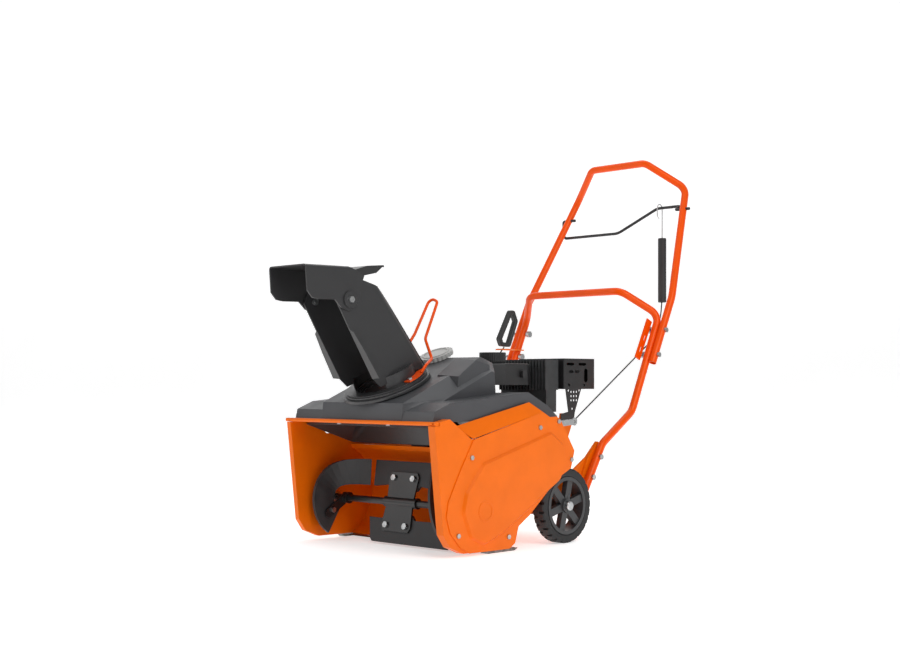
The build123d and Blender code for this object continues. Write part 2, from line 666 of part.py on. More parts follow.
LEVER_END = (572, 327)
LEVER_LEFT, LEVER_T = 252.0, 4.0
with BuildPart() as idler_arm:
    with BuildSketch(side(BELT_LEFT - 4.2)):
        with BuildLine():
            Line(IDLER_PIVOT, IDLER_AT)
        trace(line_width=18)
        with Locations(IDLER_PIVOT, IDLER_AT):
            Circle(12)
    extrude(amount=3.4)
    with BuildSketch(side(LEVER_LEFT)):
        with Locations(IDLER_PIVOT):
            Circle(5)
    extrude(amount=BELT_LEFT - 0.8 - LEVER_LEFT)
    with BuildSketch(side(LEVER_LEFT)):
        with BuildLine():
            Line(IDLER_PIVOT, LEVER_END)
        trace(line_width=16)
        with Locations(IDLER_PIVOT, LEVER_END):
            Circle(11)
        with Locations(LEVER_END):
            Circle(3.5, mode=Mode.SUBTRACT)
    extrude(amount=LEVER_T)
    with BuildSketch(side(BELT_LEFT - 0.8)):
        with Locations(IDLER_AT):
            Circle(5)
    extrude(amount=12)
idler_arm.part.label = "idler_arm"
export_step(idler_arm.part, "parts/idler_arm.step")

with BuildPart() as idler_pulley:
    with BuildSketch(side(BELT_LEFT - 0.4)):
        with Locations(IDLER_AT):
            Circle(IDLER_R)
            Circle(5 + RUNNING, mode=Mode.SUBTRACT)
    extrude(amount=10.4)
idler_pulley.part.label = "idler_pulley"
export_step(idler_pulley.part, "parts/idler_pulley.step")

# ------------------------------------------------------------ engine
BLOCK_LEFT, BLOCK_RIGHT = -88.0, 122.0
with BuildPart() as engine_block:
    with BuildSketch(side(BLOCK_LEFT)):
        Polygon((362, 140), (362, 300), (400, 335), (448, 348), (500, 296), (508, 140), align=None)
    extrude(amount=BLOCK_RIGHT - BLOCK_LEFT)
    fillet(engine_block.edges().filter_by(Axis.X), 14)
    with BuildSketch(crank_line(BLOCK_RIGHT)):
        Circle(52)
    extrude(amount=10)
    with BuildSketch(crank_line(BLOCK_LEFT - 1)):
        Circle(SHAFT_R + 3 + RUNNING)
    extrude(amount=BLOCK_RIGHT - BLOCK_LEFT + 20, mode=Mode.SUBTRACT)
    with BuildSketch(level(128, 17, 435)):
        Rectangle(190, 170)
    extrude(amount=14)
engine_block.part.label = "engine_block"
export_step(engine_block.part, "parts/engine_block.step")

with BuildPart() as crankshaft:
    with BuildSketch(crank_line(-128)):
        Circle(SHAFT_R + 3)
    extrude(amount=BLOCK_RIGHT + 128)
    with BuildSketch(crank_line(BLOCK_RIGHT)):
        Circle(SHAFT_R)
    extrude(amount=SHAFT_RIGHT - BLOCK_RIGHT)
crankshaft.part.label = "crankshaft"
export_step(crankshaft.part, "parts/crankshaft.step")

FLYWHEEL_LEFT, FLYWHEEL_RIGHT = -122.0, -100.0
with BuildPart() as flywheel:
    with BuildSketch(crank_line(FLYWHEEL_LEFT)):
        Circle(72)
    extrude(amount=8)
    with BuildSketch(crank_line(FLYWHEEL_LEFT + 8)):
        Circle(26)
        with PolarLocations(58, 12):
            Rectangle(24, 3)
    extrude(amount=FLYWHEEL_RIGHT - FLYWHEEL_LEFT - 8)
    with BuildSketch(crank_line(FLYWHEEL_LEFT - 1)):
        Circle(SHAFT_R + 3)
    extrude(amount=40, mode=Mode.SUBTRACT)
flywheel.part.label = "flywheel"
export_step(flywheel.part, "parts/flywheel.step")

# blower housing with the recoil starter on its outside
RECOIL_LEFT, RECOIL_R = -158.0, 90.0
ROPE_R = 2.0
ROPE_EXIT, ROPE_END = Vector(-140, 484, 308), Vector(-227, 816, 546)
ROPE_TAIL = 52.0          # length of rope inside the starter at rest
rope_way = (ROPE_END - ROPE_EXIT).normalized()
rope_plane = Plane(origin=ROPE_EXIT - rope_way * ROPE_TAIL + Vector(0, LIP_Y, 0), z_dir=rope_way)
with BuildPart() as recoil_housing:
    with BuildSketch(crank_line(RECOIL_LEFT)):
        Circle(RECOIL_R)
    extrude(amount=BLOCK_LEFT - RECOIL_LEFT - 0.1)
    fillet(recoil_housing.edges().filter_by(GeomType.CIRCLE).sort_by(Axis.X)[0], 6)
    with BuildSketch(crank_line(RECOIL_LEFT + SHEET)):
        Circle(RECOIL_R - SHEET)
    extrude(amount=BLOCK_LEFT - RECOIL_LEFT, mode=Mode.SUBTRACT)
    with BuildSketch(crank_line(RECOIL_LEFT - 1)):
        with PolarLocations(46, 12):
            SlotOverall(40, 9)
    extrude(amount=SHEET + 2, mode=Mode.SUBTRACT)
    with BuildSketch(rope_plane.offset(ROPE_TAIL - 30)):
        Circle(ROPE_R + 3)
    extrude(amount=60, mode=Mode.SUBTRACT)
recoil_housing.part.label = "recoil_housing"
export_step(recoil_housing.part, "parts/recoil_housing.step")

# finned barrel and head, leaning back over the crankcase
BARREL_LEAN = 42.0
barrel_base = Plane(origin=(30, LIP_Y + 492, 312), x_dir=(1, 0, 0),
                    z_dir=(0, cos(radians(BARREL_LEAN)), sin(radians(BARREL_LEAN))))
FIN_COUNT, FIN_PITCH = 8, 11.0
HEAD_FINS, HEAD_PITCH = 16, 11.4
with BuildPart() as engine_cylinder:
    with BuildSketch(barrel_base):
        Circle(38)
    extrude(amount=FIN_COUNT * FIN_PITCH + 10)
    for fin in range(FIN_COUNT):
        with BuildSketch(barrel_base.offset(4 + fin * FIN_PITCH)):
            RectangleRounded(116, 92, 12)
        extrude(amount=3)
    with BuildSketch(side(-4)):
        Polygon((556, 352), (556, 478), (600, 478), (600, 352), align=None)
    extrude(amount=170)
    for fin in range(HEAD_FINS):
        with BuildSketch(side(-8 + fin * HEAD_PITCH)):
            Polygon((552, 414), (552, 500), (608, 500), (608, 414), align=None)
        extrude(amount=4)
engine_cylinder.part.label = "engine_cylinder"
export_step(engine_cylinder.part, "parts/engine_cylinder.step")

# carburettor shroud, faceted on the belt side, with the choke knob on top
SHROUD_PLAN = [(20, 388), (112, 388), (138, 420), (138, 512), (118, 546), (20, 546)]
SHROUD_LOW, SHROUD_HIGH = 428.0, 488.0
with BuildPart() as carburettor_shroud:
    with BuildSketch(level(SHROUD_LOW)):
        Polygon(*SHROUD_PLAN, align=None)
    extrude(amount=SHROUD_HIGH - SHROUD_LOW, taper=3)
    fillet(carburettor_shroud.edges().group_by(Axis.Z)[-1], 5)
    with BuildSketch(level(SHROUD_LOW)):
        Polygon(*SHROUD_PLAN, align=None)
        offset(amount=-4)
    extrude(amount=SHROUD_HIGH - SHROUD_LOW - 6, mode=Mode.SUBTRACT)
    with BuildSketch(level(SHROUD_HIGH, 84, 424)):
        Circle(30)
    extrude(amount=4)
    with Locations((84, LIP_Y + 424, SHROUD_HIGH + 4)):
        Hole(4, depth=30)
carburettor_shroud.part.label = "carburettor_shroud"
export_step(carburettor_shroud.part, "parts/carburettor_shroud.step")

KNOB_R = 37.0
with BuildPart() as choke_knob:
    with BuildSketch(level(SHROUD_HIGH + 4.2, 84, 424)):
        Circle(KNOB_R)
        with PolarLocations(KNOB_R, 36):
            Circle(1.6, mode=Mode.SUBTRACT)
    extrude(amount=26)
    fillet(choke_knob.faces().sort_by(Axis.Z)[-1].edges(), 1)
    with BuildSketch(level(SHROUD_HIGH - 5, 84, 424)):
        Circle(4 - RUNNING)
    extrude(amount=10)
choke_knob.part.label = "choke_knob"
export_step(choke_knob.part, "parts/choke_knob.step")

KEY_Y, KEY_Z = 486.0, 458.0
with BuildPart() as ignition_key:
    with BuildSketch(Plane(origin=(139.5, LIP_Y + KEY_Y, KEY_Z), x_dir=(0, 1, 0), z_dir=(1, 0, 0))):
        RectangleRounded(16, 20, 3)
    extrude(amount=9)
ignition_key.part.label = "ignition_key"
export_step(ignition_key.part, "parts/ignition_key.step")

GUARD = {"left": 8.0, "right": 180.0, "front": 618.0, "rear": 757.0, "low": 416.0, "high": 503.0}
guard_w = GUARD["right"] - GUARD["left"]
guard_d = GUARD["rear"] - GUARD["front"]
guard_h = GUARD["high"] - GUARD["low"]
guard_mid = ((GUARD["left"] + GUARD["right"]) / 2, (GUARD["front"] + GUARD["rear"]) / 2)
with BuildPart() as muffler:
    with BuildSketch(level(GUARD["low"] + 8, guard_mid[0], guard_mid[1] + 4)):
        RectangleRounded(guard_w - 36, guard_d - 34, 22)
    extrude(amount=guard_h - 26)
    fillet(muffler.edges().group_by(Axis.Z)[-1], 8)
    with BuildSketch(Plane(origin=(70, LIP_Y + 608.2, 452), z_dir=(0, 1, 0))):
        Circle(14)
    extrude(amount=40)
muffler.part.label = "muffler"
export_step(muffler.part, "parts/muffler.step")

GUARD_T = 2.0
with BuildPart() as muffler_guard:
    with BuildSketch(level(GUARD["low"], *guard_mid)):
        RectangleRounded(guard_w, guard_d, 4)
    extrude(amount=guard_h)
    with BuildSketch(level(GUARD["low"] - 1, *guard_mid)):
        RectangleRounded(guard_w - 2 * GUARD_T, guard_d - 2 * GUARD_T, 3)
    extrude(amount=guard_h - GUARD_T + 1, mode=Mode.SUBTRACT)
    with BuildSketch(level(GUARD["high"] + 1, *guard_mid)):
        with GridLocations(14, 13, 11, 9):
            Circle(4)
    extrude(amount=-GUARD_T - 2, mode=Mode.SUBTRACT)
    with BuildSketch(side(GUARD["right"] + 1)):
        with Locations((646, 487), (700, 487)):
            SlotOverall(34, 8)
        with Locations((650, 466), (676, 466)):
            SlotOverall(20, 8)
        with Locations((716, 455)):
            SlotOverall(40, 16, rotation=90)
        with Locations((640, 428), (708, 428)):
            Circle(5)
    extrude(amount=-GUARD_T - 2, mode=Mode.SUBTRACT)
    with BuildSketch(Plane(origin=(70, LIP_Y + GUARD["front"] - 1, 452), z_dir=(0, 1, 0))):
        Circle(16)
    extrude(amount=GUARD_T + 2, mode=Mode.SUBTRACT)
    with BuildSketch(side(GUARD["right"] - 2 * GUARD_T)):
        Polygon((626, 424), (700, 424), (668, 350), (664, 326), (606, 326), (606, 346),
                (640, 352), align=None)
        with Locations((664, 396)):
            with GridLocations(12, 12, 3, 3):
                Circle(3.5, mode=Mode.SUBTRACT)
        with Locations((657, 360), (640, 412), (688, 412)):
            Circle(3.5, mode=Mode.SUBTRACT)
    extrude(amount=GUARD_T + 0.4)
muffler_guard.part.label = "muffler_guard"
export_step(muffler_guard.part, "parts/muffler_guard.step")

TANK_SIDE = [(200, 396), (200, 428), (296, 468), (330, 460), (334, 396)]
with BuildPart() as fuel_tank:
    with BuildSketch(side(-104)):
        Polygon(*TANK_SIDE, align=None)
    extrude(amount=208)
    fillet(fuel_tank.edges().filter_by(Axis.X), 8)
    with BuildSketch(filler.offset(-46)):
        Circle(24)
    extrude(amount=50)
fuel_tank.part.label = "fuel_tank"
export_step(fuel_tank.part, "parts/fuel_tank.step")

CAP_R = 48.0
with BuildPart() as fuel_cap:
    with BuildSketch(filler.offset(2)):
        Circle(CAP_R)
        with PolarLocations(CAP_R + 2, 24):
            Circle(4.5, mode=Mode.SUBTRACT)
    extrude(amount=12)
    with BuildSketch(filler.offset(14)):
        Circle(38)
        Circle(33, mode=Mode.SUBTRACT)
    extrude(amount=2.5)
    with BuildSketch(filler.offset(1)):
        Circle(30.6)
    extrude(amount=4, mode=Mode.SUBTRACT)
fuel_cap.part.label = "fuel_cap"
export_step(fuel_cap.part, "parts/fuel_cap.step")

# ------------------------------------------------------------ frame, wheels
RAIL_IN, RAIL_OUT = 236.0, 241.0
LAP_BOLTS = [(947, 589), (911, 516)]
LEG_BOLTS = [(634, 171), (668, 226)]
BOLT_R = 4.0
with BuildPart() as frame:
    with BuildSketch(level(122, 0, 440)):
        Rectangle(2 * RAIL_OUT, 264)
    extrude(amount=5)
    for sign in (-1, 1):
        with BuildSketch(side(sign * RAIL_IN)):
            Polygon((302, 90), (302, 176), (572, 186), (640, 226), (686, 268), (704, 254),
                    (630, 118), (560, 78), (470, 78), align=None)
            with Locations((WHEEL_Y, WHEEL_R)):
                Circle(AXLE_R, mode=Mode.SUBTRACT)
        extrude(amount=sign * (RAIL_OUT - RAIL_IN))
        with BuildSketch(side(sign * RAIL_OUT)):
            Polygon((302, 150), (392, 150), (392, 212), (302, 212), align=None)
        extrude(amount=sign * (INNER - RAIL_OUT - 0.1))
        with BuildSketch(side(sign * RAIL_OUT)):
            Polygon((596, 172), (612, 168), (640, 226), (686, 268), (704, 254), (640, 132),
                    (606, 122), align=None)
        extrude(amount=sign * (LOWER_X - TUBE_R - RAIL_OUT))
        with BuildSketch(side(sign * (RAIL_IN - 2))):
            with Locations(*LEG_BOLTS):
                Circle(BOLT_R)
        extrude(amount=sign * 20, mode=Mode.SUBTRACT)
    with BuildSketch(side(GUARD["right"] - 2 * GUARD_T - 3.1)):
        Polygon((560, 127), (571, 127), (664, 330), (664, 348), (606, 348), (600, 320), align=None)
    extrude(amount=3)
    with BuildSketch(level(127, 17, 435)):
        Rectangle(190, 170)
    extrude(amount=1)
frame.part.label = "frame"
export_step(frame.part, "parts/frame.step")

AXLE_END = 296.0


def wheel_line(x):
    """Plane across a wheel at x with its origin on the axle."""
    return Plane(origin=(x, LIP_Y + WHEEL_Y, WHEEL_R), x_dir=(0, 1, 0), z_dir=(1, 0, 0))


with BuildPart() as axle:
    with BuildSketch(wheel_line(-AXLE_END)):
        Circle(AXLE_R)
    extrude(amount=2 * AXLE_END)
axle.part.label = "axle"
export_step(axle.part, "parts/axle.step")

CAP_END = 300.0
with BuildPart() as axle_caps:
    for sign in (-1, 1):
        with BuildSketch(wheel_line(sign * (WHEEL_OUT + 2.5))):
            Circle(13)
        extrude(amount=sign * (CAP_END - WHEEL_OUT - 2.5))
        with BuildSketch(wheel_line(sign * (WHEEL_OUT + 2))):
            Circle(AXLE_R)
        extrude(amount=sign * (AXLE_END - WHEEL_OUT - 2), mode=Mode.SUBTRACT)
    fillet(axle_caps.edges().filter_by(GeomType.CIRCLE).group_by(Axis.X)[0], 3)
    fillet(axle_caps.edges().filter_by(GeomType.CIRCLE).group_by(Axis.X)[-1], 3)
axle_caps.part.label = "axle_caps"
export_step(axle_caps.part, "parts/axle_caps.step")

RIM_R, RIM_WALL = 78.0, 10.0
SPOKE_OUT = RIM_R - RIM_WALL + 2
for label, sign in (("left", -1), ("right", 1)):
    face_x = sign * (WHEEL_OUT - 4)
    with BuildPart() as wheel:
        with BuildSketch(wheel_line(sign * WHEEL_IN)):
            Circle(RIM_R)
            Circle(RIM_R - RIM_WALL, mode=Mode.SUBTRACT)
        extrude(amount=sign * (WHEEL_OUT - WHEEL_IN))
        with BuildSketch(wheel_line(sign * (WHEEL_IN - 6))):
            Circle(19)
        extrude(amount=sign * (WHEEL_OUT + 2 - WHEEL_IN + 6))
        with BuildSketch(wheel_line(face_x)):
            with PolarLocations(SPOKE_OUT / 2 + 6, 6, start_angle=75):
                Rectangle(SPOKE_OUT - 12, 21)
        extrude(amount=-sign * 16)
        with BuildSketch(wheel_line(face_x)):
            with PolarLocations(RIM_R - RIM_WALL, 6, start_angle=75):
                Circle(9)
        extrude(amount=-sign * 12)
        with BuildSketch(wheel_line(sign * (WHEEL_IN - 8))):
            Circle(AXLE_R + RUNNING)
        extrude(amount=sign * 60, mode=Mode.SUBTRACT)
    wheel.part.label = f"wheel_{label}"
    export_step(wheel.part, f"parts/wheel_{label}.step")

    with BuildPart() as tyre:
        with BuildSketch(Plane(origin=(sign * (WHEEL_IN + WHEEL_OUT) / 2, LIP_Y + WHEEL_Y, WHEEL_R))):
            with Locations((0, (RIM_R + WHEEL_R) / 2)):
                RectangleRounded(WHEEL_OUT - WHEEL_IN, WHEEL_R - RIM_R, 5)
        revolve(axis=Axis((0, LIP_Y + WHEEL_Y, WHEEL_R), (1, 0, 0)))
        for row, shift in ((-1, 0), (1, 0.5)):
            with BuildSketch(wheel_line(sign * (WHEEL_IN + WHEEL_OUT) / 2 + row * 3.5)):
                with PolarLocations(WHEEL_R, 26, start_angle=shift * 360 / 26):
                    Rectangle(10, 7, rotation=14 * row)
            extrude(amount=row * 20, mode=Mode.SUBTRACT)
    tyre.part.label = f"tyre_{label}"
    export_step(tyre.part, f"parts/tyre_{label}.step")

# ------------------------------------------------------------ handle
lower_points = mirrored([(LOWER_X, 607, 128), (LOWER_X, 690, 262), (LOWER_X, 829, 351),
                         (LOWER_X + 1, 962, 634), (178, 882, 706)])
lower_path = bent_path(lower_points, [60, 60, 38, 45, 45, 38, 60, 60])
with BuildPart() as lower_handle:
    add(sweep_round(lower_path, TUBE_R, TUBE_R - TUBE_WALL).part)
    for sign in (-1, 1):
        with BuildSketch(side(sign * (LOWER_X - 16))):
            with Locations(*LAP_BOLTS, *LEG_BOLTS):
                Circle(BOLT_R)
        extrude(amount=sign * 32, mode=Mode.SUBTRACT)
lower_handle.part.label = "lower_handle"
export_step(lower_handle.part, "parts/lower_handle.step")

upper_points = mirrored([(UPPER_X, 898, 492), (UPPER_X, 996, 690), (213, 1169, 1036),
                         (105, 1104, 1119)])
upper_path = bent_path(upper_points, [120, 42, 36, 36, 42, 120])
with BuildPart() as upper_handle:
    add(sweep_round(upper_path, TUBE_R, TUBE_R - TUBE_WALL).part)
    with BuildSketch(Plane(origin=(-300, LIP_Y + BAIL_Y, BAIL_Z), z_dir=(1, 0, 0))):
        Circle(BAIL_R + RUNNING)
    extrude(amount=600, mode=Mode.SUBTRACT)
    for sign in (-1, 1):
        with BuildSketch(side(sign * (UPPER_X - 14))):
            with Locations(*LAP_BOLTS):
                Circle(BOLT_R)
        extrude(amount=sign * 30, mode=Mode.SUBTRACT)
upper_handle.part.label = "upper_handle"
export_step(upper_handle.part, "parts/upper_handle.step")

with BuildPart() as handle_bolts:
    for sign in (-1, 1):
        for spots, left, right in ((LAP_BOLTS, LOWER_X - TUBE_R, UPPER_X + TUBE_R),
                                   (LEG_BOLTS, RAIL_OUT - 5, LOWER_X + TUBE_R)):
            with BuildSketch(side(sign * (left - 6))):
                with Locations(*spots):
                    Circle(BOLT_R - 0.1)
            extrude(amount=sign * (right - left + 8))
            with BuildSketch(side(sign * (right + 0.2))):
                with Locations(*spots):
                    RegularPolygon(8, 6)
            extrude(amount=sign * 6)
        with BuildSketch(side(sign * (LOWER_X - TUBE_R - 4.5))):
            with Locations(*LAP_BOLTS):
                Circle(10)
        extrude(amount=-sign * 10)
handle_bolts.part.label = "handle_bolts"
export_step(handle_bolts.part, "parts/handle_bolts.step")

BAIL_OUT = 249.0
CRANK_BACK, CRANK_UP = 24.0, 14.0
BAIL_CRANK = 198.0        # the crank stays between the legs, clear of them
bail_points = [(-200, BAIL_Y, BAIL_Z), (-BAIL_OUT, BAIL_Y, BAIL_Z),
               (-BAIL_OUT, BAIL_Y, BAIL_Z - 56), (-24, BAIL_Y, BAIL_Z - 56),
               (113, BAIL_Y + CRANK_BACK, BAIL_Z + CRANK_UP),
               (BAIL_CRANK, BAIL_Y + CRANK_BACK, BAIL_Z + CRANK_UP),
               (BAIL_CRANK, BAIL_Y, BAIL_Z), (BAIL_OUT, BAIL_Y, BAIL_Z)]
bail_path = bent_path(bail_points, [5, 14, 60, 40, 7, 7])
bail = sweep_round(bail_path, BAIL_R)
bail.part.label = "bail"
export_step(bail.part, "parts/bail.step")

# the cable's hook hangs over the bail; its loop leaves room for the bail's arc
HOOK_X, HOOK_R, HOOK_LOOP = 126.0, 1.6, 12.9
HOOK_Y = BAIL_Y + CRANK_BACK - 6.2
HOOK_Z = BAIL_Z + CRANK_UP - 1.8
SLEEVE_HIGH, SLEEVE_LOW, SLEEVE_R = 888.0, 686.0, 13.0
hook_path = bent_path([(HOOK_X, HOOK_Y + HOOK_LOOP, 885), (HOOK_X, HOOK_Y + HOOK_LOOP, HOOK_Z + HOOK_LOOP),
                       (HOOK_X, HOOK_Y - HOOK_LOOP, HOOK_Z + HOOK_LOOP),
                       (HOOK_X, HOOK_Y - HOOK_LOOP, HOOK_Z - 24),
                       (HOOK_X, HOOK_Y - HOOK_LOOP + 10, HOOK_Z - 34)],
                      [HOOK_LOOP - 0.1, HOOK_LOOP - 0.1, 6])
cable_hook = sweep_round(hook_path, HOOK_R)
cable_hook.part.label = "cable_hook"
export_step(cable_hook.part, "parts/cable_hook.step")

with BuildPart() as spring_sleeve:
    with BuildSketch(level(SLEEVE_LOW, HOOK_X, HOOK_Y + HOOK_LOOP)):
        Circle(SLEEVE_R)
    extrude(amount=SLEEVE_HIGH - SLEEVE_LOW)
    fillet(spring_sleeve.edges().filter_by(GeomType.CIRCLE), 2.5)
    with BuildSketch(level(SLEEVE_LOW - 1, HOOK_X, HOOK_Y + HOOK_LOOP)):
        Circle(SLEEVE_R - 4)
    extrude(amount=60, mode=Mode.SUBTRACT)
    with BuildSketch(level(SLEEVE_HIGH + 1, HOOK_X, HOOK_Y + HOOK_LOOP)):
        Circle(HOOK_R + 0.1)
    extrude(amount=-6, mode=Mode.SUBTRACT)
spring_sleeve.part.label = "spring_sleeve"
export_step(spring_sleeve.part, "parts/spring_sleeve.step")

CABLE_R = 2.0
cable_path = bent_path([(HOOK_X, HOOK_Y + HOOK_LOOP, 735), (HOOK_X, HOOK_Y + HOOK_LOOP - 2, 640),
                        (238, 950, 556), (249.5, LEVER_END[0], LEVER_END[1])],
                       [110, 120])
control_cable = sweep_round(cable_path, CABLE_R)
control_cable.part.label = "control_cable"
export_step(control_cable.part, "parts/control_cable.step")

with BuildPart() as cable_bracket:
    with BuildSketch(side(LOWER_X - TUBE_R - 4.2)):
        Polygon((922, 624), (944, 614), (884, 500), (862, 510), align=None)
        with Locations((908, 566), (888, 532)):
            SlotOverall(20, 6, rotation=62, mode=Mode.SUBTRACT)
        with Locations(*LAP_BOLTS):
            Circle(BOLT_R, mode=Mode.SUBTRACT)
    extrude(amount=4)
cable_bracket.part.label = "cable_bracket"
export_step(cable_bracket.part, "parts/cable_bracket.step")

# ------------------------------------------------------------ recoil pull
guide_hole = ROPE_END - rope_way * 14
with BuildPart() as rope_guide:
    with BuildSketch(level(536)):
        Polygon((-240, 790), (-208, 790), (-208, 822), (-238, 880), (-247.6, 934),
                (-256, 934), (-252, 870), (-240, 822), align=None)
        with Locations((-259.7, 917)):
            Ellipse(11.6, 14.6, mode=Mode.SUBTRACT)
    extrude(amount=4)
    with Locations((guide_hole.X, LIP_Y + guide_hole.Y, 540)):
        Hole(8, depth=8)
rope_guide.part.label = "rope_guide"
export_step(rope_guide.part, "parts/rope_guide.step")

GRIP_OUTLINE = [(796, 548), (838, 546), (874, 628), (858, 662), (838, 662), (785, 571)]
GRIP_T = 18.0
with BuildSketch() as grip_outline:
    Polygon(*GRIP_OUTLINE, align=None)
    fillet(grip_outline.vertices(), 9)
with BuildPart() as recoil_grip:
    with BuildSketch(side(ROPE_END.X - GRIP_T / 2)):
        add(grip_outline.sketch)
        offset(grip_outline.sketch, amount=-13, mode=Mode.SUBTRACT)
    extrude(amount=GRIP_T)
    fillet(recoil_grip.edges().filter_by(Plane.YZ), 4)
recoil_grip.part.label = "recoil_grip"
export_step(recoil_grip.part, "parts/recoil_grip.step")

with BuildPart() as recoil_rope:
    with BuildSketch(rope_plane):
        Circle(ROPE_R)
    extrude(amount=(ROPE_END - ROPE_EXIT).length + ROPE_TAIL - 2)
recoil_rope.part.label = "recoil_rope"
export_step(recoil_rope.part, "parts/recoil_rope.step")
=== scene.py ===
"""Looks of a single-stage snow blower, laid out as a Blender add-on.

Each group of pieces has its own operator; the stage has one more.  The panel
in the 3-D view's sidebar lists them in the order main() calls them.
"""

import math

import bpy
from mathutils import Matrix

bl_info = {
    "name": "Snow Blower Looks",
    "version": (1, 0, 0),
    "blender": (4, 5, 0),
    "location": "3D View > Sidebar > Snow Blower",
    "description": "Gives a rebuilt snow blower its paint, rubber, plastic and studio",
    "category": "Object",
}

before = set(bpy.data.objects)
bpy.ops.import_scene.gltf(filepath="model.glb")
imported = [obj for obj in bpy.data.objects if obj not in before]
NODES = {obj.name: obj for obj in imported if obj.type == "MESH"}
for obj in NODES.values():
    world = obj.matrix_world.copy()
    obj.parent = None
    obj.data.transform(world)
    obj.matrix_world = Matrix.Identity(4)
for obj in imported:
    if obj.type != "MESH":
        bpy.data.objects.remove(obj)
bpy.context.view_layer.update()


# ---------------------------------------------------------------- shader help
def linear(code):
    """Turns an sRGB hex colour such as F06A0A into linear RGBA."""
    parts = [int(code[i:i + 2], 16) / 255 for i in (0, 2, 4)]
    return [c / 12.92 if c <= 0.04045 else ((c + 0.055) / 1.055) ** 2.4 for c in parts] + [1.0]


def deeper(colour, share=0.93):
    """The same linear colour with a little less light in it."""
    return [share * c for c in colour[:3]] + [1.0]


def add(tree, kind, settings=None, **inputs):
    """Adds one shader node; inputs are values or sockets to link from."""
    node = tree.nodes.new("ShaderNode" + kind)
    for name, value in (settings or {}).items():
        setattr(node, name, value)
    for name, value in inputs.items():
        key = int(name[1:]) if name[1:].isdigit() else name.replace("_", " ")
        if isinstance(value, bpy.types.NodeSocket):
            tree.links.new(value, node.inputs[key])
        else:
            node.inputs[key].default_value = value
    return node


def fresh(name):
    """A new material with an empty tree, its output and object coordinates."""
    material = bpy.data.materials.new(name)
    material.use_nodes = True
    tree = material.node_tree
    tree.nodes.clear()
    out = add(tree, "OutputMaterial")
    place = add(tree, "TexCoord").outputs["Object"]
    return material, tree, out, place


def mottled(tree, place, patch_mm, first, second):
    """Two close colours drifting into each other over patches of that size."""
    patches = add(tree, "TexNoise", Vector=place, Scale=1000 / patch_mm, Detail=3.0)
    ramp = add(tree, "MapRange", Value=patches.outputs[0], From_Min=0.35, From_Max=0.65)
    mix = add(tree, "Mix", {"data_type": "RGBA"}, i0=ramp.outputs[0], i6=first, i7=second)
    return mix.outputs[2], ramp.outputs[0]


def grained(tree, place, grain_mm, depth_mm, edge_mm):
    """Surface normal with a fine grain and worn, rounded edges."""
    edge = add(tree, "Bevel", {"samples": 4}, Radius=edge_mm / 1000)
    grain = add(tree, "TexNoise", Vector=place, Scale=1000 / grain_mm, Detail=2.0)
    bump = add(tree, "Bump", Height=grain.outputs[0], Distance=depth_mm / 1000,
               Normal=edge.outputs[0], Strength=1.0)
    return bump.outputs[0]


def surface(name, first, second, rough, grain_mm, depth_mm, **extra):
    """The common build: two tones, a band of roughness, grain and soft edges."""
    first, second = (linear(tone) if isinstance(tone, str) else list(tone)
                     for tone in (first, second))
    edge_mm = extra.pop("edge_mm", 0.8)
    patch_mm = extra.pop("patch_mm", 70)
    material, tree, out, place = fresh(name)
    colour, drift = mottled(tree, place, patch_mm, first, second)
    gloss = add(tree, "MapRange", Value=drift, To_Min=rough[0], To_Max=rough[1])
    shader = add(tree, "BsdfPrincipled", Base_Color=colour, Roughness=gloss.outputs[0],
                 Normal=grained(tree, place, grain_mm, depth_mm, edge_mm), **extra)
    tree.links.new(shader.outputs[0], out.inputs[0])
    return material


def dress(material, *names):
    """Puts one material on every slot of the named CAD nodes."""
    for name in names:
        mesh = NODES[name].data
        mesh.materials.clear()
        mesh.materials.append(material)


# ---------------------------------------------------------------- fixed values
# An orange tint on the powder coat's gloss.  A real coat's gloss is white; the
# tint keeps the orange strong under the white surround.
COAT_TINT = (1, 0.72, 0.45, 1)
WHITE = (1, 1, 1, 1)

# scale of the waves that stand for the strands of the starter cord, in relief and in their
# painted highlight and shade
STRAND_SCALE = 180.0
STRAND_DEPTH = 0.0004

# the sweep, in metres: a flat floor, a quarter bend and a wall
SWEEP_NEAR, SWEEP_FAR = -12.0, 7.0
SWEEP_BEND, SWEEP_HALF, SWEEP_HIGH = 2.0, 14.0, 9.0
BEND_STEPS = 16
SWEEP_TURN = math.radians(44.4)

# each lamp: its name, how big it is and where it hangs, in metres
KEY_LAMP = ("key", 2.6, (3.4, -1.2, 3.0))
FILL_LAMP = ("fill", 3.0, (-2.4, -3.6, 2.2))
TOP_LAMP = ("top", 3.2, (-0.6, 0.6, 3.8))
TOP_SHARE = 0.6     # power of the top lamp as a share of the key's
AIM_HIGH = 0.4      # the lamps point at this height over the origin

CAMERA_AT = (2.5949, -2.7790, 0.43985)
CAMERA_TURN = math.radians(44.43)
CAMERA_SENSOR, CAMERA_SHIFT = 36.0, 0.0619
CAMERA_NEAR, CAMERA_END = 0.05, 100


# ---------------------------------------------------------------- properties
class SNOW_PG_paint(bpy.types.PropertyGroup):
    sheet: bpy.props.FloatVectorProperty(
        name="Sheet orange", description="Powder coat on the housing and the frame",
        subtype="COLOR", size=4, default=linear("F26E04"), min=0, max=1)
    tube: bpy.props.FloatVectorProperty(
        name="Tube orange", description="Powder coat on the handle tubes",
        subtype="COLOR", size=4, default=linear("F25000"), min=0, max=1)
    peel_mm: bpy.props.FloatProperty(
        name="Orange peel", description="Spacing of the ripples in the powder coat, mm",
        default=2.2, min=0.2, max=10)
    peel_depth_mm: bpy.props.FloatProperty(
        name="Peel depth", description="Height of the ripples in the powder coat, mm",
        default=0.02, min=0, max=0.5)


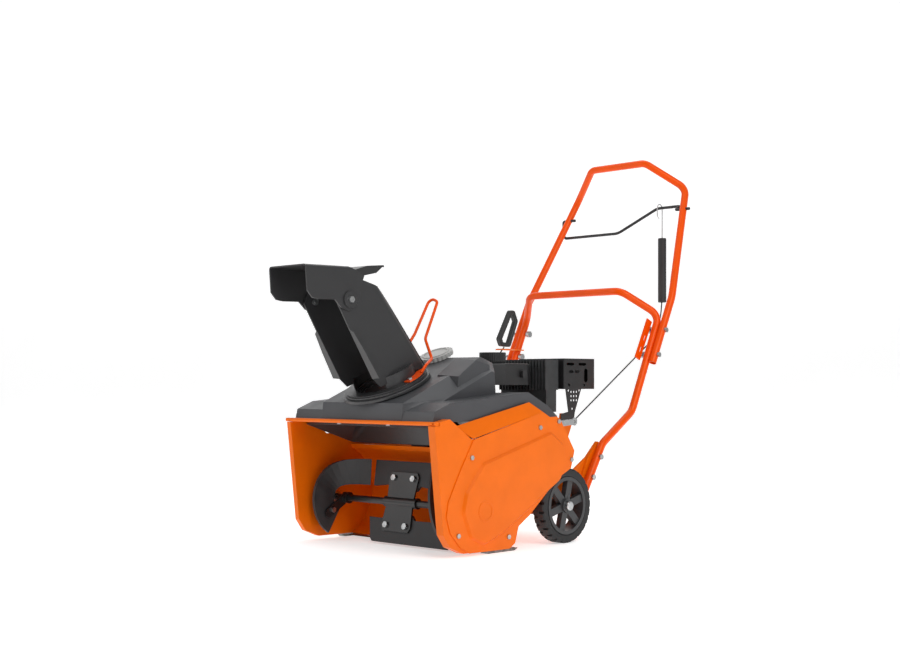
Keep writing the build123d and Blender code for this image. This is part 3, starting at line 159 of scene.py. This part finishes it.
class SNOW_PG_moulded(bpy.types.PropertyGroup):
    hood: bpy.props.FloatVectorProperty(
        name="Hood charcoal", description="Colour of the moulded hood",
        subtype="COLOR", size=4, default=linear("46474A"), min=0, max=1)
    chute: bpy.props.FloatVectorProperty(
        name="Chute black", description="Colour of the chute and the deflector",
        subtype="COLOR", size=4, default=linear("343435"), min=0, max=1)
    grain_mm: bpy.props.FloatProperty(
        name="Mould grain", description="Spacing of the grain moulded into plastic, mm",
        default=0.9, min=0.1, max=5)
    rubber_mm: bpy.props.FloatProperty(
        name="Rubber grain", description="Spacing of the grain in moulded rubber, mm",
        default=1.6, min=0.1, max=5)


class SNOW_PG_stage(bpy.types.PropertyGroup):
    key_power: bpy.props.FloatProperty(
        name="Key light", description="Power of the large soft light on the right, W",
        default=82, min=0, unit="POWER")
    fill_power: bpy.props.FloatProperty(
        name="Fill light", description="Power of the soft light on the left, W",
        default=32, min=0, unit="POWER")
    sky: bpy.props.FloatProperty(
        name="Surround", description="Brightness of the even white surround",
        default=0.3, min=0, max=3)
    paper_glow: bpy.props.FloatProperty(
        name="Paper glow", description="Light that comes through the background paper",
        default=0.5, min=0, max=5)
    lens: bpy.props.FloatProperty(
        name="Lens", description="Focal length of the camera", default=53.49,
        min=10, max=200, subtype="DISTANCE_CAMERA")


# ---------------------------------------------------------------- operators
class SNOW_OT_housing(bpy.types.Operator):
    """Paints the auger housing, belt cover and frame"""
    bl_idname = "snow.housing"
    bl_label = "Housing and frame"

    def execute(self, context):
        look = context.scene.snow_paint
        # Powder-coated sheet steel: saturated orange with a broad soft highlight.
        coat = surface("Powder-coated steel, orange", look.sheet, deeper(look.sheet),
                       (0.32, 0.4), look.peel_mm, look.peel_depth_mm, IOR=1.38,
                       Specular_Tint=COAT_TINT, Coat_Weight=0.06, Coat_Roughness=0.2)
        dress(coat, "side_plate_left", "side_plate_right", "housing_wrap", "belt_cover",
              "frame", "rope_guide", "front_lip")
        return {"FINISHED"}


class SNOW_OT_handle(bpy.types.Operator):
    """Paints the handle tubes and dresses the bail and its cable"""
    bl_idname = "snow.handle"
    bl_label = "Handle"

    def execute(self, context):
        look = context.scene.snow_paint
        # Powder-coated tube: a redder orange than the sheet, with a tight highlight.
        tube = surface("Powder-coated tube, red orange", look.tube, deeper(look.tube),
                       (0.28, 0.35), look.peel_mm, look.peel_depth_mm, edge_mm=0.4,
                       IOR=1.38, Specular_Tint=COAT_TINT, Coat_Weight=0.08,
                       Coat_Roughness=0.15)
        dress(tube, "lower_handle", "upper_handle", "cable_bracket", "chute_handle")
        # Black-dipped rod: the bail's vinyl coat, smooth with a soft sheen.
        dip = surface("Vinyl-dipped rod, black", "1C1C1D", "242426", (0.42, 0.52), 3.0, 0.02,
                      IOR=1.5, edge_mm=0.3)
        dress(dip, "bail", "control_cable")
        # Braided starter cord: crossing strands seen as fine diagonal ribs, with a painted
        # highlight on the strand crests and painted shade in the grooves between them.
        cord, tree, out, place = fresh("Braided starter cord, black")
        strand_relief_and_shade = add(tree, "TexWave", {"bands_direction": "DIAGONAL"}, Vector=place,
                      Scale=STRAND_SCALE, Distortion=2.0, Detail=2.0)
        # the cord's colour follows the same waves as the ribs: paler on the crests as a
        # painted highlight, darker in the grooves as painted shade
        colour = add(tree, "Mix", {"data_type": "RGBA"}, i0=strand_relief_and_shade.outputs[1],
                     i6=linear("1A1A1A"), i7=linear("3A3A3B"))
        ribs = add(tree, "Bump", Height=strand_relief_and_shade.outputs[1],
                   Distance=STRAND_DEPTH)
        shader = add(tree, "BsdfPrincipled", Base_Color=colour.outputs[2], Roughness=0.8,
                     Normal=ribs.outputs[0])
        tree.links.new(shader.outputs[0], out.inputs[0])
        dress(cord, "recoil_rope")
        return {"FINISHED"}


class SNOW_OT_plastics(bpy.types.Operator):
    """Gives the hood, chute and engine covers their moulded plastic"""
    bl_idname = "snow.plastics"
    bl_label = "Moulded plastics"

    def execute(self, context):
        look = context.scene.snow_moulded
        # Injection-moulded polypropylene: charcoal with a fine pebble that breaks highlights.
        hood = surface("Moulded polypropylene, charcoal", look.hood, deeper(look.hood),
                       (0.34, 0.44), look.grain_mm, 0.03, IOR=1.49, edge_mm=1.6)
        dress(hood, "hood")
        # Moulded polyethylene: near black, waxy, a little glossier than the hood.
        chute = surface("Moulded polyethylene, black", look.chute, deeper(look.chute),
                        (0.28, 0.38), look.grain_mm, 0.02, IOR=1.51, edge_mm=1.2)
        dress(chute, "chute", "deflector", "chute_collar", "chute_ring",
              "deflector_washers", "chute_funnel")
        # Glass-filled nylon: black, dull and slightly rough on the engine's covers.
        nylon = surface("Glass-filled nylon, black", "232324", "2B2B2C", (0.42, 0.54),
                        look.grain_mm, 0.03, IOR=1.53)
        dress(nylon, "carburettor_shroud", "choke_knob", "ignition_key", "recoil_housing",
              "recoil_grip", "spring_sleeve", "fuel_tank")
        # Moulded cap: light grey acetal, chalky with rounded serrations.
        cap = surface("Moulded acetal, light grey", "B9BAB8", "AFB0AE", (0.42, 0.5), 1.2, 0.02,
                      IOR=1.48)
        dress(cap, "fuel_cap")
        # Moulded wheel centre: dark grey nylon, dull on the spokes.
        wheel = surface("Moulded nylon wheel, dark grey", "303133", "38393A", (0.38, 0.48),
                        look.grain_mm, 0.03, IOR=1.53)
        dress(wheel, "wheel_left", "wheel_right")
        return {"FINISHED"}


class SNOW_OT_rubber(bpy.types.Operator):
    """Gives the auger, belt and tyres their rubber"""
    bl_idname = "snow.rubber"
    bl_label = "Rubber"

    def execute(self, context):
        look = context.scene.snow_moulded
        # Fabric-reinforced rubber sheet: dark grey, dry, with a faint calender grain.
        flight = surface("Reinforced rubber sheet", "29292B", "323233", (0.5, 0.62),
                         look.rubber_mm, 0.05, IOR=1.52, patch_mm=30)
        dress(flight, "auger_spiral_left", "auger_spiral_right", "center_paddle",
              "drive_belt")
        # Moulded tyre rubber: black and matt, worn paler on the tread.
        tyre = surface("Moulded tyre rubber", "1C1C1D", "262627", (0.62, 0.76), look.rubber_mm,
                       0.06, IOR=1.52, patch_mm=24, edge_mm=1.2)
        dress(tyre, "tyre_left", "tyre_right")
        return {"FINISHED"}


class SNOW_OT_metals(bpy.types.Operator):
    """Gives the shafts, bolts, engine castings and guard their metal"""
    bl_idname = "snow.metals"
    bl_label = "Metals"

    def execute(self, context):
        # Zinc-plated steel: pale silver with a faintly cloudy, broken reflection.
        zinc = surface("Zinc-plated steel", "C9CACA", "B4B6B7", (0.26, 0.40), 1.0, 0.01,
                       Metallic=1.0, patch_mm=12, edge_mm=0.5)
        dress(zinc, "auger_bolts", "auger_bearings", "axle", "axle_caps", "chute_bolts",
              "cover_bolts", "handle_bolts", "cable_hook", "crankshaft", "idler_arm")
        # Bare rolled steel: darker, with longer scuffs from the ground.
        steel = surface("Rolled steel, scuffed", "8E8C88", "6F6D69", (0.34, 0.55), 3.0, 0.03,
                        Metallic=1.0, patch_mm=9)
        dress(steel, "scraper_bar", "skid_shoes")
        # Die-cast aluminium: dull grey with the grain of the mould.
        cast = surface("Die-cast aluminium", "8F9091", "7C7D7E", (0.45, 0.6), 1.4, 0.06,
                       Metallic=1.0, patch_mm=18)
        dress(cast, "engine_block", "flywheel", "auger_pulley", "drive_pulley", "idler_pulley")
        # Heat-resistant paint on castings: dark, flat grey on fins.
        fins = surface("Heat-resistant paint, dark grey", "2E2F30", "383A3B", (0.5, 0.62), 1.4,
                       0.04, IOR=1.5, patch_mm=20)
        dress(fins, "engine_cylinder", "muffler")
        # Black enamelled sheet: semi-gloss on pressed steel.
        black = surface("Black enamelled steel", "19191A", "202021", (0.3, 0.4), 2.0, 0.02,
                        IOR=1.5, Coat_Weight=0.2)
        dress(black, "muffler_guard", "paddle_brackets", "auger_arms", "auger_shaft")
        return {"FINISHED"}


class SNOW_OT_stage(bpy.types.Operator):
    """Sets the white sweep, the soft lights and the camera"""
    bl_idname = "snow.stage"
    bl_label = "Studio stage"

    def execute(self, context):
        look = context.scene.snow_stage
        # a floor that curves up into a backdrop behind the machine
        profile = [(SWEEP_NEAR, 0.0), (SWEEP_FAR, 0.0)]
        for step in range(1, BEND_STEPS + 1):
            angle = math.radians(90 * step / BEND_STEPS)
            profile.append((SWEEP_FAR + SWEEP_BEND * math.sin(angle),
                            SWEEP_BEND - SWEEP_BEND * math.cos(angle)))
        profile.append((SWEEP_FAR + SWEEP_BEND, SWEEP_HIGH))
        across, along = math.cos(SWEEP_TURN), math.sin(SWEEP_TURN)
        rows = []
        for away, height in profile:
            for side in (-SWEEP_HALF, SWEEP_HALF):
                rows.append((side * across - away * along, side * along + away * across,
                             height))
        faces = [(2 * i, 2 * i + 1, 2 * i + 3, 2 * i + 2) for i in range(len(profile) - 1)]
        mesh = bpy.data.meshes.new("sweep")
        mesh.from_pydata(rows, [], faces)
        mesh.shade_smooth()
        sweep = bpy.data.objects.new("sweep", mesh)
        context.scene.collection.objects.link(sweep)
        # Seamless background paper: matt white, lit through so it reads as pure white.
        paper = surface("Seamless paper, white", "F8F8F8", "F5F5F5", (0.9, 0.95), 4.0, 0.01,
                        IOR=1.4, patch_mm=900, Emission_Color=WHITE,
                        Emission_Strength=look.paper_glow)
        mesh.materials.append(paper)
        for (name, size, spot), power in ((KEY_LAMP, look.key_power),
                                          (FILL_LAMP, look.fill_power),
                                          (TOP_LAMP, look.key_power * TOP_SHARE)):
            lamp = bpy.data.lights.new(name, "AREA")
            lamp.energy = power
            lamp.size = size
            light = bpy.data.objects.new(name, lamp)
            light.location = spot
            aim = light.location.copy()
            aim.z -= AIM_HIGH
            light.rotation_euler = aim.to_track_quat("Z", "Y").to_euler()
            context.scene.collection.objects.link(light)
        world = bpy.data.worlds.new("surround")
        world.use_nodes = True
        glow = world.node_tree.nodes["Background"]
        glow.inputs[0].default_value = WHITE
        glow.inputs[1].default_value = look.sky
        context.scene.world = world
        context.scene.view_settings.view_transform = "Standard"
        camera = bpy.data.cameras.new("camera")
        camera.lens = look.lens
        camera.sensor_width, camera.shift_y = CAMERA_SENSOR, CAMERA_SHIFT
        camera.clip_start, camera.clip_end = CAMERA_NEAR, CAMERA_END
        viewer = bpy.data.objects.new("camera", camera)
        viewer.location = CAMERA_AT
        viewer.rotation_euler = (math.radians(90), 0, CAMERA_TURN)
        context.scene.collection.objects.link(viewer)
        context.scene.camera = viewer
        return {"FINISHED"}


STEPS = (SNOW_OT_housing, SNOW_OT_handle, SNOW_OT_plastics, SNOW_OT_rubber, SNOW_OT_metals,
         SNOW_OT_stage)
GROUPS = (("snow_paint", SNOW_PG_paint), ("snow_moulded", SNOW_PG_moulded),
          ("snow_stage", SNOW_PG_stage))


class SNOW_PT_panel(bpy.types.Panel):
    """Lists the settings and the steps that dress the machine"""
    bl_label = "Snow Blower"
    bl_idname = "SNOW_PT_panel"
    bl_space_type = "VIEW_3D"
    bl_region_type = "UI"
    bl_category = "Snow Blower"

    def draw(self, context):
        for attribute, group in GROUPS:
            settings = getattr(context.scene, attribute)
            box = self.layout.box()
            for name in group.__annotations__:
                box.prop(settings, name)
        for step in STEPS:
            self.layout.operator(step.bl_idname)


def register():
    for attribute, group in GROUPS:
        bpy.utils.register_class(group)
        setattr(bpy.types.Scene, attribute, bpy.props.PointerProperty(type=group))
    for step in STEPS:
        bpy.utils.register_class(step)
    bpy.utils.register_class(SNOW_PT_panel)


def unregister():
    bpy.utils.unregister_class(SNOW_PT_panel)
    for step in reversed(STEPS):
        bpy.utils.unregister_class(step)
    for attribute, group in reversed(GROUPS):
        delattr(bpy.types.Scene, attribute)
        bpy.utils.unregister_class(group)


def main():
    register()
    bpy.ops.snow.housing()
    bpy.ops.snow.handle()
    bpy.ops.snow.plastics()
    bpy.ops.snow.rubber()
    bpy.ops.snow.metals()
    bpy.ops.snow.stage()


if __name__ == "__main__":
    main()
